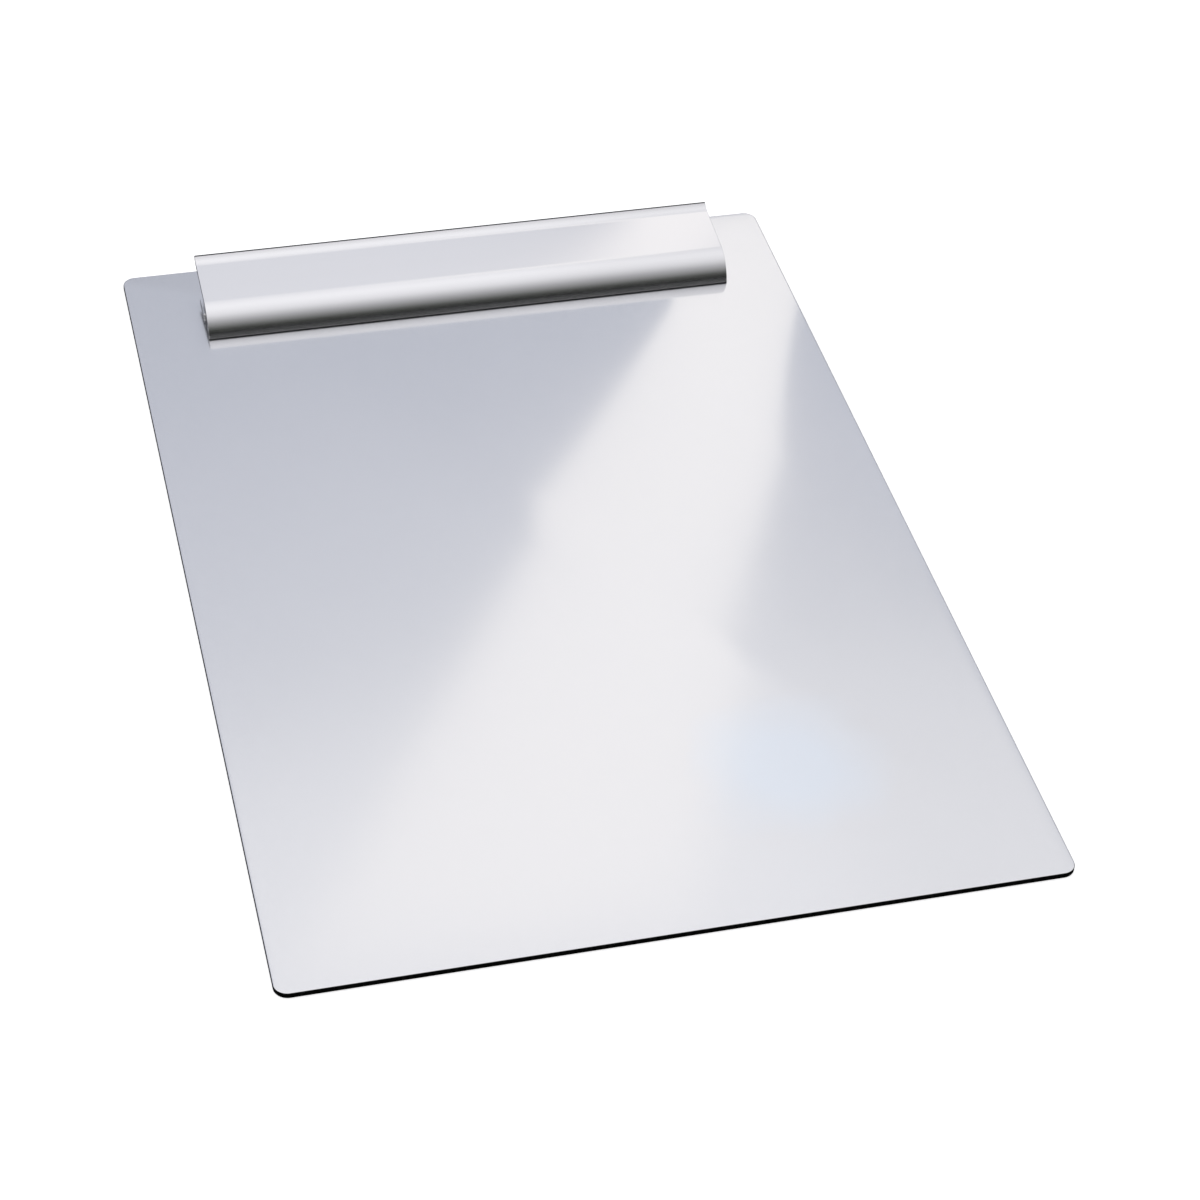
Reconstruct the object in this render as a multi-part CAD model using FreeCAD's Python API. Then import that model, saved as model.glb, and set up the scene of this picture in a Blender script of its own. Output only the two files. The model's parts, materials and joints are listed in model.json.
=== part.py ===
import FreeCAD, Part
import math
import os

# A sheet-metal clipboard with a long extruded clamp along its top edge.
# Millimetres. X runs across the plate, +Y points to the clamp's end and +Z is up.
# The origin is the middle of the plate's underside.

# Backing plate
plate_width = 229.0
plate_length = 340.0
plate_thickness = 2.0
plate_corner_radius = 4.2
plate_rim_radius = 0.4

# The clamp as a whole: both extrusions have this length and sit a little right of the middle.
clamp_length = 183.1
clamp_centre_x = 1.7
pivot_y = 146.1
pivot_z = 6.85

# Lever profile, seen along X: a lip for the thumb, a flat that falls to the front, and a round nose.
lever_wall = 1.4
flat_front_y = 137.7
flat_front_z = plate_thickness + 9.25
flat_length = 19.0
flat_tilt_deg = 6.0
nose_radius = 10.8
lip_radius = 6.3
lip_end_tilt_deg = 42.0
lip_edge_bulge = 0.5
nose_foot_back_y = 131.9
rib_web_width = 2.8
mill_ceiling_z = pivot_z + 3.5

# Grip strip under the nose, and the slot that holds it
strip_height = 0.4
strip_front_y = 128.3
strip_back_y = 131.5
slot_centre_y = 130.25
slot_neck_width = 0.9
slot_neck_height = 0.6
slot_head_width = 1.7
slot_head_height = 1.1
strip_play = 0.04

# Hinge base profile
foot_front_y = 141.2
foot_back_y = 150.4
foot_thickness = 1.5
foot_front_chamfer = 0.5
knuckle_radius = 2.9
knuckle_web_width = 2.4

# Hinge rod, bushes and push-on caps
rod_radius = 1.5
rod_half_length = 85.9
rod_end_chamfer = 0.3
base_bore_play = 0.03
running_play = 0.05
bush_radius = 2.1
bush_bore_play = 0.02
bush_proud = 0.1
cap_radius = 2.6
cap_start = 84.4
cap_length = 2.0
cap_end_wall = 0.45

# Places along the hinge, measured from the clamp's middle
rib_length = 14.0
rib_pitch = 38.5
rib_count = 5
side_gap = 0.3
knuckle_length = 8.0
spring_start = 9.2
rivet_offset = 20.3

# Torsion springs. The turns are counted as if both legs lay level.
wire_radius = 0.5
coil_radius = 2.2
coil_pitch = 1.12
coil_level_turns = 5.5
upper_leg_length = 9.0
upper_leg_rise_deg = 13.0
lower_leg_length = 4.0
lower_leg_fall_deg = 8.6

# Blind rivets and what stays of their mandrels
rivet_y = 143.4
rivet_radius = 1.5
rivet_hole_play = 0.03
sink_radius = 2.9
sink_half_angle_deg = 60.0
rivet_recess = 0.05
rivet_head_play = 0.03
bulb_radius = 2.1
bulb_height = 1.6
bulb_top_radius = 1.3
bulb_shoulder_radius = 1.9
bulb_shoulder_height = 1.0
mandrel_radius = 0.85
mandrel_play = 0.02
mandrel_low_z = 1.2
mandrel_head_radius = 1.3
mandrel_head_height = 0.5
mandrel_crown_radius = 0.35

X_AXIS = FreeCAD.Vector(1, 0, 0)
Z_AXIS = FreeCAD.Vector(0, 0, 1)
ORIGIN = FreeCAD.Vector(0, 0, 0)

plate_top_z = plate_thickness
foot_top_z = plate_top_z + foot_thickness
nose_end_z = plate_top_z + strip_height
clamp_low_x = clamp_centre_x - clamp_length / 2


def save(shape, node):
    """Write one node's solid to its STEP file."""
    shape.exportStep("parts/" + node + ".step")


def box(low, high):
    """A box between two corners."""
    size = [high[axis] - low[axis] for axis in range(3)]
    return Part.makeBox(size[0], size[1], size[2], FreeCAD.Vector(*low))


def rod_along_x(radius, low_x, high_x):
    """A round bar on the hinge axis between two places along X."""
    start = FreeCAD.Vector(low_x, pivot_y, pivot_z)
    return Part.makeCylinder(radius, high_x - low_x, start, X_AXIS)


def section_point(y, z):
    """A point of a profile that is drawn at the clamp's left end."""
    return FreeCAD.Vector(clamp_low_x, y, z)


def on_circle(centre, radius, angle_deg):
    """The profile point at an angle on a circle, counted from +Y towards +Z."""
    angle = math.radians(angle_deg)
    return section_point(centre[0] + radius * math.cos(angle), centre[1] + radius * math.sin(angle))


def line(start, end):
    """A straight edge."""
    return Part.LineSegment(start, end).toShape()


def arc(start, middle, end):
    """A round edge through three points."""
    return Part.Arc(start, middle, end).toShape()


def extrude(edges):
    """The bar that a closed profile makes over the clamp's whole length."""
    face = Part.Face(Part.Wire(edges))
    return face.extrude(FreeCAD.Vector(clamp_length, 0, 0))


def stations(offset):
    """The four places at one offset into each hinge bay, as (x, side), from left to right."""
    inner = rib_length / 2 + offset
    outer = inner + rib_pitch
    return [(clamp_centre_x + side * reach, side)
            for side, reach in ((-1, outer), (-1, inner), (1, inner), (1, outer))]


def rib_spans():
    """Where the lever keeps its hinge rib, as (low x, high x), from left to right."""
    spans = []
    for number in range(rib_count):
        middle = clamp_centre_x + (number - (rib_count - 1) / 2) * rib_pitch
        spans.append((middle - rib_length / 2, middle + rib_length / 2))
    return spans


def rivet_sites():
    """The rivets' centres on the plate's underside."""
    return [FreeCAD.Vector(x, rivet_y, 0) for x, side in stations(rivet_offset)]


def cone_depth(outer_radius, inner_radius):
    """How deep a countersink goes between two radii."""
    return (outer_radius - inner_radius) / math.tan(math.radians(sink_half_angle_deg))


def backing_plate():
    """The flat plate: round corners, a broken rim and countersunk rivet holes."""
    low = (-plate_width / 2, -plate_length / 2, 0)
    high = (plate_width / 2, plate_length / 2, plate_thickness)
    plate = box(low, high)
    upright = [edge for edge in plate.Edges if edge.BoundBox.ZLength > plate_thickness / 2]
    plate = plate.makeFillet(plate_corner_radius, upright)
    rims = [edge for edge in plate.Edges if edge.BoundBox.ZLength < plate_thickness / 2]
    plate = plate.makeFillet(plate_rim_radius, rims)
    hole_radius = rivet_radius + rivet_hole_play
    for site in rivet_sites():
        hole = Part.makeCylinder(hole_radius, plate_thickness, site, Z_AXIS)
        sink = Part.makeCone(sink_radius, hole_radius, cone_depth(sink_radius, hole_radius), site, Z_AXIS)
        plate = plate.cut(hole.fuse(sink))
    return plate


def lever_skin():
    """The lever's outer wall with the thicker foot of its nose."""
    tilt = math.radians(flat_tilt_deg)
    inward = (math.sin(tilt), -math.cos(tilt))
    flat_back_y = flat_front_y + flat_length * math.cos(tilt)
    flat_back_z = flat_front_z + flat_length * math.sin(tilt)
    nose = (flat_front_y + nose_radius * inward[0], flat_front_z + nose_radius * inward[1])
    lip = (flat_back_y - lip_radius * inward[0], flat_back_z - lip_radius * inward[1])
    nose_inner = nose_radius - lever_wall
    lip_outer = lip_radius + lever_wall

    flat_angle = 90 + flat_tilt_deg
    nose_end_angle = 180 - math.degrees(math.asin((nose_end_z - nose[1]) / nose_radius))
    nose_back_angle = 180 - math.degrees(math.acos((nose[0] - nose_foot_back_y) / nose_inner))
    lip_start_angle = flat_tilt_deg - 90
    lip_end_angle = lip_end_tilt_deg - 90
    lip_middle_angle = (lip_start_angle + lip_end_angle) / 2

    lip_top = on_circle(lip, lip_radius, lip_end_angle)
    lip_under = on_circle(lip, lip_outer, lip_end_angle)
    lip_end_tilt = math.radians(lip_end_tilt_deg)
    lip_out = FreeCAD.Vector(0, math.cos(lip_end_tilt), math.sin(lip_end_tilt))
    lip_edge = (lip_top + lip_under) * 0.5 + lip_out * lip_edge_bulge
    flat_back = on_circle(lip, lip_radius, lip_start_angle)
    flat_back_under = on_circle(lip, lip_outer, lip_start_angle)
    flat_front = on_circle(nose, nose_radius, flat_angle)
    flat_front_under = on_circle(nose, nose_inner, flat_angle)
    nose_middle = on_circle(nose, nose_radius, (flat_angle + nose_end_angle) / 2)
    nose_middle_under = on_circle(nose, nose_inner, (flat_angle + nose_back_angle) / 2)
    nose_end = on_circle(nose, nose_radius, nose_end_angle)
    nose_back_top = on_circle(nose, nose_inner, nose_back_angle)
    nose_back = section_point(nose_foot_back_y, nose_end_z)

    return extrude([
        arc(lip_top, on_circle(lip, lip_radius, lip_middle_angle), flat_back),
        line(flat_back, flat_front),
        arc(flat_front, nose_middle, nose_end),
        line(nose_end, nose_back),
        line(nose_back, nose_back_top),
        arc(nose_back_top, nose_middle_under, flat_front_under),
        line(flat_front_under, flat_back_under),
        arc(flat_back_under, on_circle(lip, lip_outer, lip_middle_angle), lip_under),
        arc(lip_under, lip_edge, lip_top),
    ])


def slot_bar(play):
    """The T-shaped bar of the grip slot, smaller all round by the play."""
    high_x = clamp_low_x + clamp_length
    neck_half = slot_neck_width / 2 - play
    head_half = slot_head_width / 2 - play
    neck_top = nose_end_z + slot_neck_height + play
    head_top = nose_end_z + slot_neck_height + slot_head_height - play
    neck = box((clamp_low_x, slot_centre_y - neck_half, nose_end_z),
               (high_x, slot_centre_y + neck_half, neck_top))
    head = box((clamp_low_x, slot_centre_y - head_half, neck_top),
               (high_x, slot_centre_y + head_half, head_top))
    return neck.fuse(head)


def clamp_lever():
    """The moving extrusion: skin, grip slot, and a hinge rib that is milled away between its stations."""
    lever = lever_skin().cut(slot_bar(0))
    rise = (pivot_y - flat_front_y) * math.tan(math.radians(flat_tilt_deg))
    skin_middle_z = flat_front_z + rise - lever_wall / 2
    for low_x, high_x in rib_spans():
        bead = rod_along_x(knuckle_radius, low_x, high_x)
        web = box((low_x, pivot_y - rib_web_width / 2, pivot_z),
                  (high_x, pivot_y + rib_web_width / 2, skin_middle_z))
        bore = rod_along_x(bush_radius + bush_bore_play, low_x, high_x)
        lever = lever.fuse(bead.fuse(web).cut(bore))
    mill_remnant = box((clamp_low_x, pivot_y - rib_web_width / 2, mill_ceiling_z),
                       (clamp_low_x + clamp_length, pivot_y + rib_web_width / 2, skin_middle_z))
    return lever.fuse(mill_remnant).removeSplitter()


def grip_strip():
    """The soft strip that holds the paper: a flat pad with a T-shaped root in the lever's slot."""
    pad = box((clamp_low_x, strip_front_y, plate_top_z),
              (clamp_low_x + clamp_length, strip_back_y, nose_end_z))
    return pad.fuse(slot_bar(strip_play)).removeSplitter()


def hinge_base():
    """The fixed extrusion: a foot riveted to the plate and a knuckle in each hinge bay."""
    corners = [section_point(y, z) for y, z in (
        (foot_front_y, plate_top_z),
        (foot_back_y, plate_top_z),
        (foot_back_y, foot_top_z),
        (foot_front_y + foot_front_chamfer, foot_top_z),
        (foot_front_y, foot_top_z - foot_front_chamfer),
    )]
    foot = extrude([line(start, end) for start, end in zip(corners, corners[1:] + corners[:1])])
    for middle, side in stations(side_gap + knuckle_length / 2):
        low_x = middle - knuckle_length / 2
        high_x = middle + knuckle_length / 2
        knuckle = rod_along_x(knuckle_radius, low_x, high_x)
        web = box((low_x, pivot_y - knuckle_web_width / 2, plate_top_z),
                  (high_x, pivot_y + knuckle_web_width / 2, pivot_z))
        bore = rod_along_x(rod_radius + base_bore_play, low_x, high_x)
        foot = foot.fuse(knuckle.fuse(web).cut(bore))
    for site in rivet_sites():
        foot = foot.cut(Part.makeCylinder(rivet_radius + rivet_hole_play, foot_top_z, site, Z_AXIS))
    return foot.removeSplitter()


def hinge_rod():
    """The steel rod that the lever turns on, chamfered at both ends."""
    rod = rod_along_x(rod_radius, clamp_centre_x - rod_half_length, clamp_centre_x + rod_half_length)
    rims = [edge for edge in rod.Edges if edge.BoundBox.XLength < rod_radius]
    return rod.makeChamfer(rod_end_chamfer, rims)


def rod_cap(side):
    """A push-on cap over one end of the rod: -1 left, 1 right."""
    inner = clamp_centre_x + side * cap_start
    outer = inner + side * cap_length
    bore_end = outer - side * cap_end_wall
    shell = rod_along_x(cap_radius, min(inner, outer), max(inner, outer))
    bore = rod_along_x(rod_radius + base_bore_play, min(inner, bore_end), max(inner, bore_end))
    rims = [edge for edge in shell.Edges
            if edge.BoundBox.XLength < cap_length / 2 and abs(edge.BoundBox.Center.x - outer) < cap_end_wall]
    return shell.makeFillet(cap_end_wall, rims).cut(bore)


def hinge_bush(low_x, high_x):
    """A plain bush in one rib of the lever, a little proud at both ends to take the side load."""
    outer = rod_along_x(bush_radius, low_x - bush_proud, high_x + bush_proud)
    return outer.cut(rod_along_x(rod_radius + running_play, low_x - bush_proud, high_x + bush_proud))


def torsion_spring():
    """A coil about the X axis from x = 0, with its upper leg at the start and its lower leg at the end.

    Both legs leave along the wire's own slope and point to the thumb lip's side: the upper one bears on
    the lever and the lower one on the foot."""
    turns = coil_level_turns - (upper_leg_rise_deg + lower_leg_fall_deg) / 360
    coil_length = turns * coil_pitch
    climb = math.atan2(coil_pitch, 2 * math.pi * coil_radius)
    end_angle = 2 * math.pi * turns
    start = FreeCAD.Vector(coil_radius, 0, 0)
    start_along = FreeCAD.Vector(0, math.cos(climb), math.sin(climb))
    end = FreeCAD.Vector(coil_radius * math.cos(end_angle), coil_radius * math.sin(end_angle), coil_length)
    end_along = FreeCAD.Vector(-math.sin(end_angle) * math.cos(climb),
                               math.cos(end_angle) * math.cos(climb),
                               math.sin(climb))
    upper_tip = start - start_along * upper_leg_length
    lower_tip = end + end_along * lower_leg_length
    helix = Part.makeHelix(coil_pitch, coil_length, coil_radius)
    path = Part.Wire([line(upper_tip, start)] + helix.Edges + [line(end, lower_tip)])
    wire_circle = Part.Wire(Part.makeCircle(wire_radius, upper_tip, start_along))
    spring = path.makePipeShell([wire_circle], True, False)
    spring.rotate(ORIGIN, FreeCAD.Vector(0, 1, 0), 90)
    spring.rotate(ORIGIN, X_AXIS, 180 + upper_leg_rise_deg)
    return spring


def placed_spring(spring, x, side):
    """A spring put on the hinge axis, mirrored in the left half of the clamp."""
    placed = spring if side > 0 else spring.mirror(ORIGIN, X_AXIS)
    return placed.translated(FreeCAD.Vector(x, pivot_y, pivot_z))


def turned(edges, site):
    """The solid that a closed half profile makes about an upright axis. Its X is the radius."""
    face = Part.Face(Part.Wire(edges))
    solid = face.revolve(ORIGIN, Z_AXIS, 360)
    return solid.translated(site)


def rivet(site):
    """A set blind rivet: sunk head below, hollow shank, and the bulb that pulls the foot down."""
    bore = mandrel_radius + mandrel_play
    head_radius = sink_radius - rivet_head_play - rivet_recess * math.tan(math.radians(sink_half_angle_deg))
    neck_z = rivet_recess + cone_depth(head_radius, rivet_radius)
    bulb_top_z = foot_top_z + bulb_height
    corners = [FreeCAD.Vector(radius, 0, z) for radius, z in (
        (bulb_top_radius, bulb_top_z),
        (bore, bulb_top_z),
        (bore, rivet_recess),
        (head_radius, rivet_recess),
        (rivet_radius, neck_z),
        (rivet_radius, foot_top_z),
        (bulb_radius, foot_top_z),
    )]
    edges = [line(start, end) for start, end in zip(corners, corners[1:])]
    shoulder = FreeCAD.Vector(bulb_shoulder_radius, 0, foot_top_z + bulb_shoulder_height)
    edges.append(arc(corners[-1], shoulder, corners[0]))
    return turned(edges, site)


def rivet_mandrel(site):
    """The broken-off mandrel that stays in a blind rivet: its stem and its round head."""
    head_z = foot_top_z + bulb_height
    stem_foot = site + Z_AXIS * mandrel_low_z
    stem = Part.makeCylinder(mandrel_radius, head_z - mandrel_low_z, stem_foot, Z_AXIS)
    head = Part.makeCylinder(mandrel_head_radius, mandrel_head_height, site + Z_AXIS * head_z, Z_AXIS)
    crown = [edge for edge in head.Edges if edge.BoundBox.ZMin > head_z + mandrel_head_height / 2]
    return stem.fuse(head.makeFillet(mandrel_crown_radius, crown))


def main():
    os.makedirs("parts", exist_ok=True)
    save(backing_plate(), "backing_plate")
    save(hinge_base(), "hinge_base")
    save(clamp_lever(), "clamp_lever")
    save(grip_strip(), "grip_strip")
    save(hinge_rod(), "hinge_rod")
    save(rod_cap(-1), "rod_cap_left")
    save(rod_cap(1), "rod_cap_right")
    for number, (low_x, high_x) in enumerate(rib_spans(), 1):
        save(hinge_bush(low_x, high_x), "hinge_bush_%d" % number)
    spring = torsion_spring()
    for number, (x, side) in enumerate(stations(spring_start), 1):
        save(placed_spring(spring, x, side), "torsion_spring_%d" % number)
    for number, site in enumerate(rivet_sites(), 1):
        save(rivet(site), "rivet_%d" % number)
        save(rivet_mandrel(site), "rivet_mandrel_%d" % number)


main()
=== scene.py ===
"""A sheet-metal clipboard with a long sprung clamp, modelled round its fixed CAD frame."""

import json
import math

import bpy
import numpy as np
from mathutils import Matrix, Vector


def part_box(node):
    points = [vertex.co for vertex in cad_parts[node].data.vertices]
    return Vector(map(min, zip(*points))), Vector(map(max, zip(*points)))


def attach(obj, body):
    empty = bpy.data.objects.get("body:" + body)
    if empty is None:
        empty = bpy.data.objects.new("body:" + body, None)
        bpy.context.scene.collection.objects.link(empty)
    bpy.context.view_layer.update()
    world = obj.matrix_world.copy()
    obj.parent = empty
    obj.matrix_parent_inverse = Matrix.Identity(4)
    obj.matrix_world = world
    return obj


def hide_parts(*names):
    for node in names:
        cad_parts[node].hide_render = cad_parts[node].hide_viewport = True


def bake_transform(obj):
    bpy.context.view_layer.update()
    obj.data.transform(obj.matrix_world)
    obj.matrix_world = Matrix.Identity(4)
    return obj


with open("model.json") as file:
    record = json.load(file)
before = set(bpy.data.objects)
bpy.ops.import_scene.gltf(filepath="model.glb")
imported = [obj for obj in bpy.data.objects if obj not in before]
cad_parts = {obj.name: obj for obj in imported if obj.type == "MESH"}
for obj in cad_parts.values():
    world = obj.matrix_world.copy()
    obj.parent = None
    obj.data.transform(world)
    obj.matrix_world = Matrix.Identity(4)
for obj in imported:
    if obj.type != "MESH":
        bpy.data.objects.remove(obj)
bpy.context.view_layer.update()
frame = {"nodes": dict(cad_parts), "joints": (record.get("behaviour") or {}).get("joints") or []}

bl_info = {
    "name": "Sprung clipboard",
    "version": (1, 0, 0),
    "blender": (4, 5, 0),
    "location": "View3D > Sidebar > Clipboard",
    "description": "Makes a metal clipboard with an extruded clamp, its hinge and a plain studio",
    "category": "Add Mesh",
}

MM = 0.001
SHARP_ANGLE = math.radians(33)
DRILLED_RADIUS = 1.53 * MM
SINK_SLOPE = math.tan(math.radians(60))
PIVOT = np.array(frame["joints"][0]["pos_m"])
SPRING_NODES = sorted(name for name in frame["nodes"] if name.startswith("torsion_spring_"))
BUSH_NODES = sorted(name for name in frame["nodes"] if name.startswith("hinge_bush_"))
RIVET_NODES = sorted(name for name in frame["nodes"] if name.startswith("rivet_") and name[-2] == "_"
                     and "mandrel" not in name)
MANDREL_NODES = sorted(name for name in frame["nodes"] if name.startswith("rivet_mandrel_"))


# ---------------------------------------------------------------- settings

def length(label, about, millimetres):
    """A length setting, given in millimetres and kept in metres."""
    return bpy.props.FloatProperty(name=label, description=about, default=millimetres * MM,
                                   min=0, unit="LENGTH", precision=5)


def angle(label, about, degrees):
    """An angle setting, given in degrees and kept in radians."""
    return bpy.props.FloatProperty(name=label, description=about, default=math.radians(degrees),
                                   subtype="ANGLE")


def share(label, about, value, highest=1.0):
    """A plain number setting from 0 up."""
    return bpy.props.FloatProperty(name=label, description=about, default=value, min=0, max=highest)


def colour(label, about, value):
    """A colour setting, in linear light."""
    return bpy.props.FloatVectorProperty(name=label, description=about, default=value, size=3,
                                         min=0, max=1, subtype="COLOR")


class ClipboardPlateSettings(bpy.types.PropertyGroup):
    corner_radius: length("Corner radius", "Radius of the plate's four corners", 4.2)
    rim_radius: length("Rim radius", "Round along the plate's upper and lower rim", 0.4)
    sink_radius: length("Countersink radius", "Widest radius of a rivet's countersink", 2.9)
    metal: colour("Metal", "Anodised sheet", (0.735, 0.74, 0.755))
    roughness: share("Roughness", "Roughness of the anodised sheet", 0.11)
    haze: share("Haze", "Roughness of the fine pits in its skin", 0.36)
    haze_share: share("Haze share", "How much of the skin is pitted", 0.3)
    smear_place: bpy.props.FloatVectorProperty(name="Smear", description="Middle of the wiped smear",
                                               default=(45.5 * MM, -112 * MM, 0), size=3, unit="LENGTH")
    smear_size: length("Smear size", "How far the smear reaches", 34)
    smear_tint: colour("Smear tint", "Bluish tone of the smear", (0.72, 0.77, 0.83))
    # The cut edge's near-black colour is a painted dark reflection of dark surroundings
    edge_painted_dark_reflection: colour("Cut edge", "Blackened cut edge of the sheet", (0.055, 0.058, 0.056))


class ClipboardClampSettings(bpy.types.PropertyGroup):
    wall: length("Wall", "Wall thickness of the lever's extrusion", 1.4)
    flat_front_y: length("Flat front, Y", "Where the lever's flat turns into its nose", 137.7)
    flat_front_z: length("Flat front, Z", "Height of that line", 11.25)
    flat_length: length("Flat length", "Width of the flat between nose and lip", 19.0)
    flat_tilt: angle("Flat tilt", "How far the flat falls to the front", 6.0)
    nose_radius: length("Nose radius", "Outer radius of the nose", 10.8)
    lip_radius: length("Lip radius", "Inner radius of the thumb lip", 6.3)
    lip_end_tilt: angle("Lip end tilt", "Slope of the lip at its free edge", 42.0)
    lip_edge_bulge: length("Lip edge bulge", "How round the lip's free edge is", 0.5)
    # The lip's free edge is painted dark as a painted reflection, over this band
    lip_edge_dark_band: length("Lip edge band", "How far the dull free edge comes over the lip", 0.16)
    nose_foot_back_y: length("Nose foot back", "Back of the nose's foot", 131.9)
    slot_neck_width: length("Slot neck width", "Width of the grip slot's neck", 0.9)
    slot_neck_height: length("Slot neck height", "Height of the grip slot's neck", 0.6)
    slot_head_width: length("Slot head width", "Width of the grip slot's head", 1.7)
    slot_head_height: length("Slot head height", "Height of the grip slot's head", 1.1)
    slot_centre_y: length("Slot centre, Y", "Middle of the grip slot", 130.25)
    rib_web_width: length("Rib web width", "Thickness of the lever's hinge ribs", 2.8)
    rib_length: length("Rib length", "Length of one hinge rib", 14.0)
    rib_pitch: length("Rib pitch", "Distance from one hinge rib to the next", 38.5)
    knuckle_radius: length("Knuckle radius", "Outer radius of every hinge knuckle", 2.9)
    knuckle_length: length("Knuckle length", "Length of one knuckle of the base", 8.0)
    knuckle_gap: length("Knuckle gap", "Space between a rib and a knuckle", 0.3)
    knuckle_web_width: length("Knuckle web width", "Thickness of a knuckle's web", 2.4)
    foot_thickness: length("Foot thickness", "Thickness of the base's foot", 1.5)
    foot_chamfer: length("Foot chamfer", "Chamfer along the foot's front", 0.5)
    mill_clearance: length("Milled clearance", "Height of the milled ceiling over the hinge axis", 3.5)
    edge_break: length("Edge break", "Round on the cut ends of the extrusions", 0.16)
    metal: colour("Metal", "Anodised extrusion", (0.745, 0.745, 0.76))
    roughness: share("Roughness", "Roughness of the extrusions", 0.2)
    # The sawn ends' tone is darkened as painted shade on the ends
    sawn_metal_painted_shade: colour("Sawn end", "Sawn ends of the extrusions", (0.2, 0.2, 0.207))
    # The inside's dark colour is painted shade in the extrusion's hollow
    inside_painted_shade: colour("Inside", "Dull skin inside the extrusions", (0.1, 0.1, 0.104))
    rubber: colour("Grip", "Soft grip strip", (0.02, 0.02, 0.021))


class ClipboardHingeSettings(bpy.types.PropertyGroup):
    wire_radius: length("Wire radius", "Radius of the spring wire", 0.5)
    coil_radius: length("Coil radius", "Middle radius of the spring coil", 2.2)
    coil_pitch: length("Coil pitch", "Advance of the coil per turn", 1.12)
    coil_turns: share("Coil turns", "Turns counted as if both legs lay level", 5.5, 50)
    upper_leg: length("Upper leg", "Leg that bears on the lever", 9.0)
    upper_rise: angle("Upper leg rise", "Slope of that leg", 13.0)
    lower_leg: length("Lower leg", "Leg that bears on the foot", 4.0)
    lower_fall: angle("Lower leg fall", "Slope of that leg", 8.6)
    bush_bore: length("Bush bore", "Bore radius of the bushes", 1.55)
    cap_wall: length("Cap end wall", "Thickness of a rod cap's closed end", 0.45)
    shank_radius: length("Rivet shank", "Radius of a rivet's shank", 1.5)
    rivet_bore: length("Rivet bore", "Radius of the hole that the mandrel is pulled through", 0.87)
    bulb_shoulder: length("Bulb shoulder", "Radius of a set rivet's bulb on the foot", 2.1)
    bulb_tip: length("Bulb tip", "Radius of the bulb at its far end", 1.3)
    bulb_fullness: length("Bulb fullness", "How far the bulb swells in the middle", 0.4)
    stem_radius: length("Mandrel stem", "Radius of a mandrel's stem", 0.85)
    break_radius: length("Mandrel break", "Radius of the stem where it broke off", 0.6)
    break_height: length("Break height", "How far up the stem narrows to the break", 0.25)
    crown_round: length("Crown round", "Round on the mandrel's crown", 0.35)
    nylon: colour("Bush", "Natural nylon", (0.82, 0.81, 0.77))
    steel: colour("Rod", "Bright drawn steel", (0.5, 0.5, 0.51))
    wire_steel: colour("Spring wire", "Music wire", (0.38, 0.38, 0.4))
    cap_steel: colour("Rod cap", "Pressed spring steel", (0.42, 0.42, 0.43))
    rivet_metal: colour("Rivet", "Aluminium rivet", (0.72, 0.72, 0.73))
    mandrel_metal: colour("Mandrel", "Broken-off steel mandrel", (0.45, 0.45, 0.46))


class ClipboardStageSettings(bpy.types.PropertyGroup):
    lens: bpy.props.FloatProperty(name="Lens", description="Focal length of the camera, in millimetres",
                                  default=91.26, min=10, unit="CAMERA")
    azimuth: angle("Camera azimuth", "Turn of the view towards +X, from looking along +Y", 15.329)
    elevation: angle("Camera elevation", "Height of the camera over the horizon", 40.776)
    roll: angle("Camera roll", "Turn of the picture round the line of sight", 2.651)
    distance: length("Camera distance", "From the camera to the point it looks at", 941.185)
    target: bpy.props.FloatVectorProperty(name="Target", description="Point of the plate's top in view",
                                          default=(9.051 * MM, -29.516 * MM), size=2, unit="LENGTH")
    floor_white: share("Floor white", "How white the floor is", 0.8)
    floor_glow: share("Floor glow", "Light that the floor itself gives off", 0.62, 10)
    band_glow: share("Band glow", "Brightness of the narrow reflector", 1.24, 10)
    band_tint: colour("Band tint", "Tone of the narrow reflector", (1.0, 0.978, 0.975))
    tent_glow: share("Tent glow", "Brightness of the light tent", 1.25, 10)
    side_tone: colour("Side tone", "Tent at the far left and right of the near side", (0.62, 0.62, 0.64))
    low_tone: colour("Horizon tone", "Tent at and below the horizon", (0.012, 0.012, 0.012))
    right_shade: share("Right shade", "How much the high right side is darkened", 0.08)


# ---------------------------------------------------------------- outlines

def arc(centre, radius, start, end, step=math.radians(3)):
    """Points on a circle from one angle to another: centre + radius (cos a, sin a)."""
    a = np.linspace(start, end, max(3, int(abs(end - start) / step) + 2))
    return np.stack([centre[0] + radius * np.cos(a), centre[1] + radius * np.sin(a)], 1)


def straight(start, end, support=0.35 * MM):
    """A straight run with a point near each end, so that shading stays flat in between."""
    start, end = np.array(start), np.array(end)
    reach = np.linalg.norm(end - start)
    near = min(support / reach, 0.4)
    return start + np.array([0, near, 1 - near, 1])[:, None] * (end - start)


def step_from(point, towards, reach):
    """The point at a distance from one point on the way to another."""
    along = towards - point
    return point + along * (reach / np.linalg.norm(along))


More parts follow.
